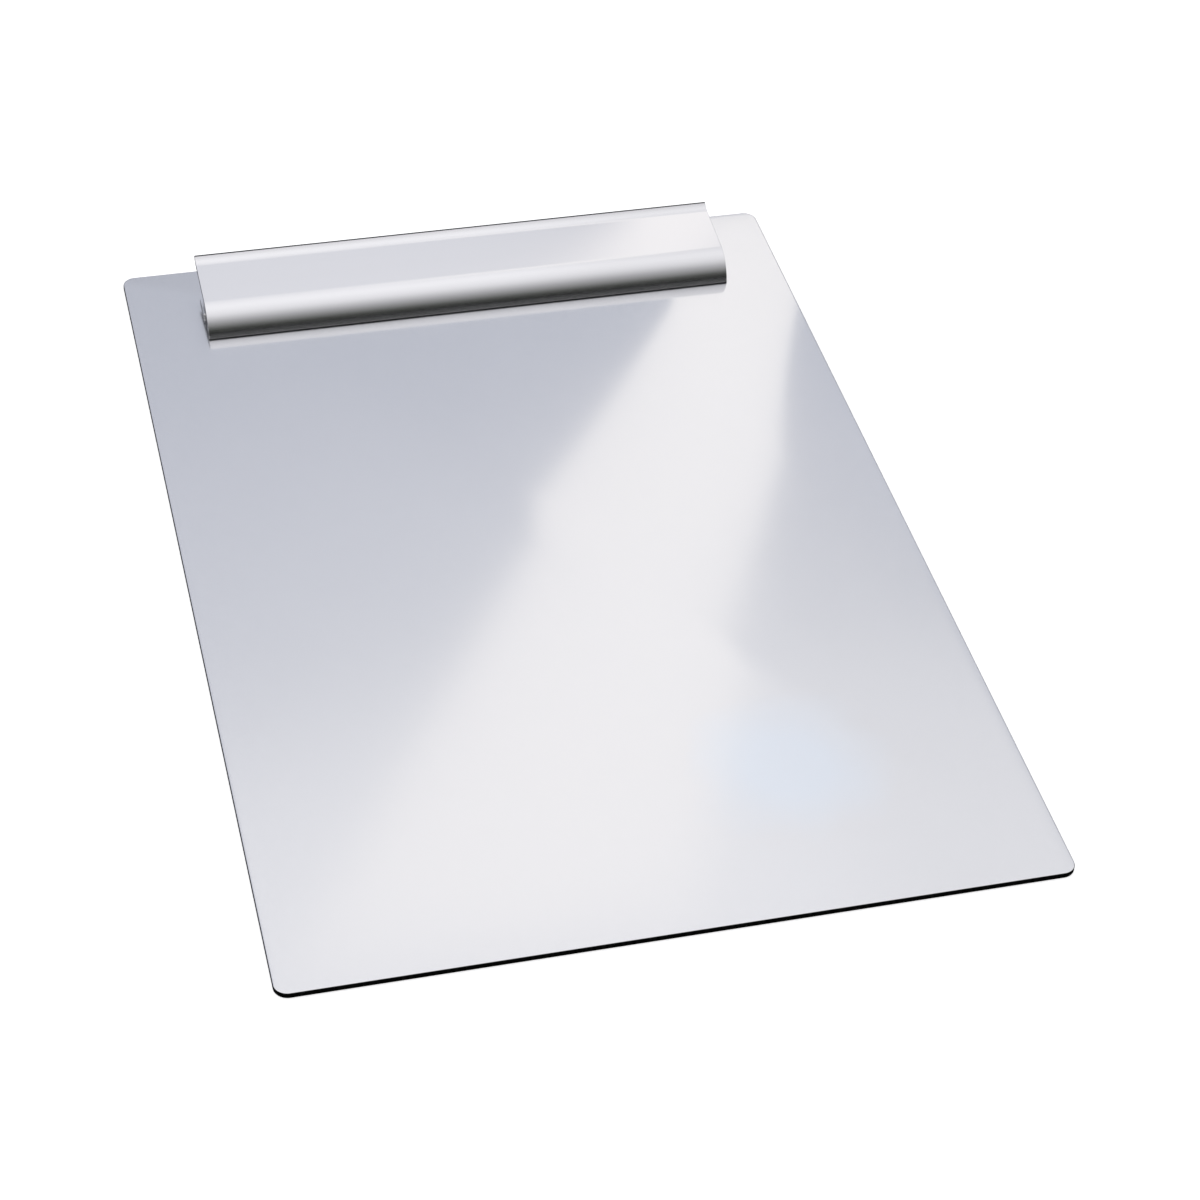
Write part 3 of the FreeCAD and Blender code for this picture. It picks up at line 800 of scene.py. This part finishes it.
def make_rod_caps(hinge):
    """Push-on caps: a cup turned round the rod, with a rounded closed end."""
    rod_low, rod_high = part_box("hinge_rod")
    bore = (rod_high.z - rod_low.z) / 2 + 0.03 * MM
    steel = pressed_steel(hinge)
    made = []
    for node, side in (("rod_cap_left", -1), ("rod_cap_right", 1)):
        low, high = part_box(node)
        radius, depth = (high.z - low.z) / 2, high.x - low.x
        wall = hinge.cap_wall
        a = np.linspace(0, math.pi / 2, 7)
        rounded = np.stack([depth - wall + wall * np.sin(a), radius - wall + wall * np.cos(a)], 1)
        profile = np.concatenate([[(depth - wall, 0.05 * MM), (depth - wall, bore), (0, bore),
                                   (0, radius - 0.15 * MM), (0.15 * MM, radius)], rounded])
        inner = high.x if side < 0 else low.x
        cup = profile * (side, 1) + (inner, 0)
        cap = turned(node + "_finish", cup if side > 0 else cup[::-1], (0, PIVOT[1], PIVOT[2]))
        made.append(finish_piece(cap, "board", [steel]))
    return made


def make_bushes(hinge):
    """Plain bushes: a sleeve with broken edges, turned round the rod."""
    nylon = moulded_nylon(hinge)
    made = []
    for node in BUSH_NODES:
        low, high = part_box(node)
        radius, edge = (high.z - low.z) / 2, 0.1 * MM
        profile = [(low.x, hinge.bush_bore + edge), (low.x, radius - edge), (low.x + edge, radius),
                   (high.x - edge, radius), (high.x, radius - edge), (high.x, hinge.bush_bore + edge),
                   (high.x - edge, hinge.bush_bore), (low.x + edge, hinge.bush_bore)]
        bush = turned(node + "_finish", profile, (0, PIVOT[1], PIVOT[2]), closed=True)
        made.append(finish_piece(bush, "lever", [nylon]))
    return made


def spring_path(hinge, side):
    """The middle line of a spring whose upper leg starts at x = 0, and where its coil ends.

    The coil is (p t / 2 pi, R sin(t + b), -R cos(t + b)) from t = 0 to its last angle, with b half a
    turn plus the upper leg's rise. Each leg is a straight line along the coil's end tangent."""
    turns = hinge.coil_turns - (hinge.upper_rise + hinge.lower_fall) / (2 * math.pi)
    t = np.linspace(0, 2 * math.pi * turns, int(turns * 48))
    phase = t + math.pi + hinge.upper_rise
    advance = hinge.coil_pitch / (2 * math.pi)
    coil = np.stack([advance * t, hinge.coil_radius * np.sin(phase), -hinge.coil_radius * np.cos(phase)], 1)
    slope = np.stack([np.full(len(t), advance), hinge.coil_radius * np.cos(phase),
                      hinge.coil_radius * np.sin(phase)], 1)
    slope /= np.linalg.norm(slope, axis=1, keepdims=True)
    tip = 0.12 * MM
    upper = np.array([hinge.upper_leg, hinge.upper_leg - tip, 0.6 * MM, 0.3 * MM])[:, None]
    lower = np.array([0.3 * MM, 0.6 * MM, hinge.lower_leg - tip, hinge.lower_leg])[:, None]
    path = np.concatenate([coil[0] - upper * slope[0], coil, coil[-1] + lower * slope[-1]])
    return path * (side, 1, 1), side * advance * t[-1]


def make_springs(hinge):
    """The four springs, mirrored in the clamp's left half. The coils twist between foot and lever."""
    steel = spring_steel(hinge)
    made = []
    for node in SPRING_NODES:
        low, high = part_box(node)
        side = 1 if (low.x + high.x) / 2 > PIVOT[0] else -1
        path, coil_end = spring_path(hinge, side)
        middle = (path[:, 0].min() + path[:, 0].max()) / 2
        start_x = (low.x + high.x) / 2 - middle
        spring = wire(node + "_finish", path + (start_x, PIVOT[1], PIVOT[2]), hinge.wire_radius)
        finish_piece(spring, None, [steel])
        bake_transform(spring)
        made.append(spring)
    return made


def make_rivets(hinge, foot_thickness):
    """The rivets and what is left of their mandrels, turned round upright axes.

    A bulb's profile at a share s of its height is the straight line from shoulder to tip, and a
    bulge of four times the fullness times s (1 - s)."""
    body_metal = upset_metal("rivet_aluminium", tuple(hinge.rivet_metal))
    stem_metal = upset_metal("mandrel_steel", tuple(hinge.mandrel_metal))
    foot_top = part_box("hinge_base")[0].z + foot_thickness
    made = []
    for node, mandrel in zip(RIVET_NODES, MANDREL_NODES):
        low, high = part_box(node)
        stem_low, stem_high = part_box(mandrel)
        centre = upright_axis(node)
        head, shank, bore = (high.x - low.x) / 2, hinge.shank_radius, hinge.rivet_bore
        neck = low.z + (head - shank) / SINK_SLOPE
        s = np.linspace(0, 1, 12)[:, None]
        first = np.array([(foot_top, hinge.bulb_shoulder)])
        last = np.array([(high.z, hinge.bulb_tip)])
        bulb = first + s * (last - first) + np.array([(0, 4 * hinge.bulb_fullness)]) * s * (1 - s)
        profile = np.concatenate([[(low.z, bore), (low.z, head - 0.05 * MM), (low.z + 0.03 * MM, head),
                                   (neck, shank), (foot_top, shank)], bulb, [(high.z, bore)]])
        rivet = turned(node + "_finish", profile, centre, "Z", closed=True)
        made.append(finish_piece(rivet, "board", [body_metal]))
        a = np.linspace(0, math.pi / 2, 8)
        crown, soft = (stem_high.x - stem_low.x) / 2, hinge.crown_round
        dome = np.stack([stem_high.z - soft * (1 - np.sin(a)), crown - soft * (1 - np.cos(a))], 1)
        stem = np.concatenate([[(stem_low.z, hinge.break_radius),
                                (stem_low.z + hinge.break_height, hinge.stem_radius),
                                (high.z, hinge.stem_radius), (high.z, crown)], dome])
        pin = turned(mandrel + "_finish", stem, centre, "Z")
        made.append(finish_piece(pin, "board", [stem_metal]))
    return made


# ---------------------------------------------------------------- studio

TENT_STOPS = (
    # degrees from the far horizon over the top, and the tone there
    (0, (0.4, 0.41, 0.46)),
    (33, (0.48, 0.497, 0.56)),
    (36.5, (0.505, 0.527, 0.597)),
    (38, (0.52, 0.54, 0.61)),
    (40, (0.565, 0.58, 0.645)),
    (43, (0.61, 0.625, 0.685)),
    (45.5, (0.665, 0.675, 0.725)),
    (46.7, (0.73, 0.735, 0.775)),
    (48, (0.81, 0.812, 0.845)),
    (52, (0.86, 0.858, 0.885)),
    (60, (0.88, 0.877, 0.903)),
    (65, (0.9, 0.895, 0.92)),
    (72, (0.935, 0.93, 0.952)),
    (82, (0.95, 0.945, 0.965)),
    (91, (0.91, 0.905, 0.925)),
    (96.5, (0.875, 0.87, 0.89)),
    (102, (0.84, 0.835, 0.855)),
    (107, (0.805, 0.8, 0.82)),
    (112.6, (0.745, 0.74, 0.758)),
    (123, (0.575, 0.572, 0.585)),
    (134, (0.4, 0.4, 0.408)),
    (145, (0.25, 0.252, 0.25)),
    (156, (0.125, 0.128, 0.122)),
    (167, (0.05, 0.054, 0.046)),
    (178, (0.02, 0.023, 0.018)),
)


# Parts of a direction of unit length, each with where a change of tone starts and where it is full
CLAMP_SIDE = 0.2             # X part of the directions that the clamp's nose mirrors
NEAR_SIDE = (-0.05, -0.35)   # Y
WIDE_SIDE = (0.55, 0.8)      # X, to both sides of CLAMP_SIDE
RIGHT_SIDE = (0.24, 0.28)    # X
HIGH_UP = (0.61, 0.66)       # Z
LOW_DOWN = (0.45, 0.0)       # Z


def make_light_tent(stage):
    """A tent of light all round. Its tone follows the angle over the YZ plane, from the far horizon
    over the top to the near one. The dark near side is only as wide as the clamp needs, the high right
    side is a little shaded, and all of it darkens towards the horizon."""
    world = bpy.data.worlds.new("light_tent")
    bpy.context.scene.world = world
    world.use_nodes = True
    tree = world.node_tree
    tree.nodes.clear()

    def node(kind, inputs=None, **settings):
        return add_node(tree, kind, inputs, **settings)

    def grown(value, limits, most=1.0, **settings):
        return node("ShaderNodeMapRange", {"Value": value, "From Min": limits[0], "From Max": limits[1],
                                           "To Max": most}, **settings).outputs[0]

    def times(first, second):
        return node("ShaderNodeMath", {0: first, 1: second}, operation="MULTIPLY").outputs[0]

    def between(factor, first, tint):
        return node("ShaderNodeMix", {"Factor": factor, 6: first, 7: (*tint, 1)},
                    data_type="RGBA").outputs[2]

    direction = node("ShaderNodeTexCoord").outputs["Generated"]
    parts = node("ShaderNodeSeparateXYZ", {0: direction}).outputs
    over = node("ShaderNodeMath", {0: parts[2], 1: parts[1]}, operation="ARCTAN2").outputs[0]
    turn = node("ShaderNodeMath", {0: over, 1: math.pi}, operation="DIVIDE").outputs[0]
    tones = node("ShaderNodeValToRGB", {0: turn})
    ramp = tones.color_ramp
    while len(ramp.elements) > 1:
        ramp.elements.remove(ramp.elements[-1])
    ramp.elements[0].position = 0
    ramp.elements[0].color = (*TENT_STOPS[0][1], 1)
    for degrees, tint in TENT_STOPS[1:]:
        ramp.elements.new(degrees / 180).color = (*tint, 1)
    aside = node("ShaderNodeMath", {0: parts[0], 1: CLAMP_SIDE}, operation="SUBTRACT").outputs[0]
    aside = node("ShaderNodeMath", {0: aside}, operation="ABSOLUTE").outputs[0]
    near = grown(parts[1], NEAR_SIDE)
    wide = grown(aside, WIDE_SIDE, interpolation_type="SMOOTHSTEP")
    sides = between(times(near, wide), tones.outputs[0], stage.side_tone)
    shade = times(grown(parts[0], RIGHT_SIDE), grown(parts[2], HIGH_UP, stage.right_shade))
    shaded = between(shade, sides, (0, 0, 0))
    all_round = between(grown(parts[2], LOW_DOWN), shaded, stage.low_tone)
    light = node("ShaderNodeBackground", {"Color": all_round, "Strength": stage.tent_glow}).outputs[0]
    node("ShaderNodeOutputWorld", {"Surface": light})


def glow_material(name, tint, strength):
    """A plain emitter."""
    made = bpy.data.materials.new(name)
    made.use_nodes = True
    tree = made.node_tree
    tree.nodes.clear()
    glow = tree.nodes.new("ShaderNodeEmission")
    glow.inputs["Color"].default_value = (*tint, 1)
    glow.inputs["Strength"].default_value = strength
    out = tree.nodes.new("ShaderNodeOutputMaterial")
    tree.links.new(glow.outputs[0], out.inputs["Surface"])
    return made


def mirrored_point(camera_place, plate_point, reach):
    """The point that the plate shows at one of its points: the line of sight goes down to the plate
    and on upwards by the reach."""
    sight = np.array(plate_point) - camera_place
    onward = sight * (1, 1, -1) / np.linalg.norm(sight)
    return np.array(plate_point) + onward * reach


BAND_EDGES = (
    # reach, left edge and right edge: how far off the reflector is where the plate shows it there
    (0.14, (84, 192), (160, 192)),
    (0.18, (71, 118), (126, 118)),
    (4.5, (-149, -226), (-24, -242)),
)


def make_band(stage, camera_place):
    """A long narrow reflector that rises from beside the clamp and leads away behind the board.

    Each row of it lies on two lines of sight, mirrored by the plate, at one distance."""
    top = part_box("backing_plate")[1].z
    points = [mirrored_point(camera_place, (x * MM, y * MM, top), reach)
              for reach, *edges in BAND_EDGES for x, y in edges]
    mesh = bpy.data.meshes.new("band")
    mesh.from_pydata(points, [], [(i, i + 1, i + 3, i + 2) for i in range(0, len(points) - 2, 2)])
    band = bpy.data.objects.new("band", mesh)
    bpy.context.scene.collection.objects.link(band)
    mesh.materials.append(glow_material("band_glow", stage.band_tint, stage.band_glow))
    band.visible_camera = False
    band.visible_diffuse = False
    return band


def make_floor(stage):
    """A wide pale floor that the plate lies on."""
    reach = 6.0
    mesh = bpy.data.meshes.new("floor")
    z = -0.05 * MM
    mesh.from_pydata([(-reach, -reach, z), (reach, -reach, z), (reach, reach, z), (-reach, reach, z)],
                     [], [(0, 1, 2, 3)])
    floor = bpy.data.objects.new("floor", mesh)
    bpy.context.scene.collection.objects.link(floor)
    made = bpy.data.materials.new("pale_floor")
    made.use_nodes = True
    shader = made.node_tree.nodes["Principled BSDF"]
    shader.inputs["Base Color"].default_value = (*(stage.floor_white,) * 3, 1)
    shader.inputs["Roughness"].default_value = 0.9
    shader.inputs["Specular IOR Level"].default_value = 0.0
    shader.inputs["Emission Color"].default_value = (1, 1, 1, 1)
    shader.inputs["Emission Strength"].default_value = stage.floor_glow
    mesh.materials.append(made)
    floor.visible_glossy = False
    return floor


def make_camera(stage):
    """The camera, given by its angles and by the point of the plate's top that it looks at."""
    target = np.array([*stage.target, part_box("backing_plate")[1].z])
    a, e, r = stage.azimuth, stage.elevation, stage.roll
    ahead = np.array([math.sin(a) * math.cos(e), math.cos(a) * math.cos(e), -math.sin(e)])
    right = np.array([math.cos(a), -math.sin(a), 0.0])
    up = np.cross(right, ahead)
    rolled_right = math.cos(r) * right + math.sin(r) * up
    rolled_up = -math.sin(r) * right + math.cos(r) * up
    place = target - ahead * stage.distance
    data = bpy.data.cameras.new("camera")
    data.lens = stage.lens
    data.sensor_width = 36.0
    camera = bpy.data.objects.new("camera", data)
    bpy.context.scene.collection.objects.link(camera)
    turn = Matrix((rolled_right, rolled_up, -ahead)).transposed()
    camera.matrix_world = Matrix.LocRotScale(place, turn, None)
    bpy.context.scene.camera = camera
    return place


# ---------------------------------------------------------------- operators

def settings():
    """The four groups of settings: plate, clamp, hinge and stage."""
    scene = bpy.context.scene
    return scene.clipboard_plate, scene.clipboard_clamp, scene.clipboard_hinge, scene.clipboard_stage


class CLIPBOARD_OT_plate(bpy.types.Operator):
    """Make the backing plate with its countersunk holes and a painted dark reflection on its cut edge"""
    bl_idname = "clipboard.make_plate"
    bl_label = "Backing plate"

    def execute(self, context):
        make_backing_plate(settings()[0])
        return {"FINISHED"}


class CLIPBOARD_OT_lever(bpy.types.Operator):
    """Make the clamp's extruded lever"""
    bl_idname = "clipboard.make_lever"
    bl_label = "Clamp lever"

    def execute(self, context):
        make_clamp_lever(settings()[1])
        return {"FINISHED"}


class CLIPBOARD_OT_grip(bpy.types.Operator):
    """Make the soft strip under the lever's nose"""
    bl_idname = "clipboard.make_grip"
    bl_label = "Grip strip"

    def execute(self, context):
        make_grip_strip(settings()[1])
        return {"FINISHED"}


class CLIPBOARD_OT_base(bpy.types.Operator):
    """Make the hinge base that is riveted to the plate"""
    bl_idname = "clipboard.make_base"
    bl_label = "Hinge base"

    def execute(self, context):
        make_hinge_base(settings()[1])
        return {"FINISHED"}


class CLIPBOARD_OT_rod(bpy.types.Operator):
    """Make the hinge rod and its two caps"""
    bl_idname = "clipboard.make_rod"
    bl_label = "Rod and caps"

    def execute(self, context):
        make_hinge_rod(settings()[2])
        make_rod_caps(settings()[2])
        return {"FINISHED"}


class CLIPBOARD_OT_bushes(bpy.types.Operator):
    """Make the bushes in the lever's ribs"""
    bl_idname = "clipboard.make_bushes"
    bl_label = "Bushes"

    def execute(self, context):
        make_bushes(settings()[2])
        return {"FINISHED"}


class CLIPBOARD_OT_springs(bpy.types.Operator):
    """Make the four torsion springs"""
    bl_idname = "clipboard.make_springs"
    bl_label = "Torsion springs"

    def execute(self, context):
        make_springs(settings()[2])
        return {"FINISHED"}


class CLIPBOARD_OT_rivets(bpy.types.Operator):
    """Make the blind rivets and their mandrels"""
    bl_idname = "clipboard.make_rivets"
    bl_label = "Rivets"

    def execute(self, context):
        make_rivets(settings()[2], settings()[1].foot_thickness)
        return {"FINISHED"}


class CLIPBOARD_OT_stage(bpy.types.Operator):
    """Make the floor, the light and the camera"""
    bl_idname = "clipboard.make_stage"
    bl_label = "Studio"

    def execute(self, context):
        stage = settings()[3]
        make_light_tent(stage)
        make_floor(stage)
        make_band(stage, make_camera(stage))
        context.scene.view_settings.view_transform = "Standard"
        return {"FINISHED"}


class CLIPBOARD_PT_panel(bpy.types.Panel):
    """The clipboard's tools in the sidebar"""
    bl_label = "Clipboard"
    bl_idname = "CLIPBOARD_PT_panel"
    bl_space_type = "VIEW_3D"
    bl_region_type = "UI"
    bl_category = "Clipboard"

    def draw(self, context):
        for operator in OPERATORS:
            self.layout.operator(operator.bl_idname)


OPERATORS = (CLIPBOARD_OT_plate, CLIPBOARD_OT_lever, CLIPBOARD_OT_grip, CLIPBOARD_OT_base,
             CLIPBOARD_OT_rod, CLIPBOARD_OT_bushes, CLIPBOARD_OT_springs, CLIPBOARD_OT_rivets,
             CLIPBOARD_OT_stage)
GROUPS = {"clipboard_plate": ClipboardPlateSettings, "clipboard_clamp": ClipboardClampSettings,
          "clipboard_hinge": ClipboardHingeSettings, "clipboard_stage": ClipboardStageSettings}


def register():
    """Register the settings, the operators and the panel."""
    for made in (*GROUPS.values(), *OPERATORS, CLIPBOARD_PT_panel):
        bpy.utils.register_class(made)
    for name, group in GROUPS.items():
        setattr(bpy.types.Scene, name, bpy.props.PointerProperty(type=group))


def unregister():
    """Take all of them away again."""
    for name in GROUPS:
        delattr(bpy.types.Scene, name)
    for made in reversed((*GROUPS.values(), *OPERATORS, CLIPBOARD_PT_panel)):
        bpy.utils.unregister_class(made)


def main():
    """Make every piece and the studio."""
    register()
    for operator in OPERATORS:
        group, name = operator.bl_idname.split(".")
        getattr(getattr(bpy.ops, group), name)()


if __name__ == "__main__":
    main()
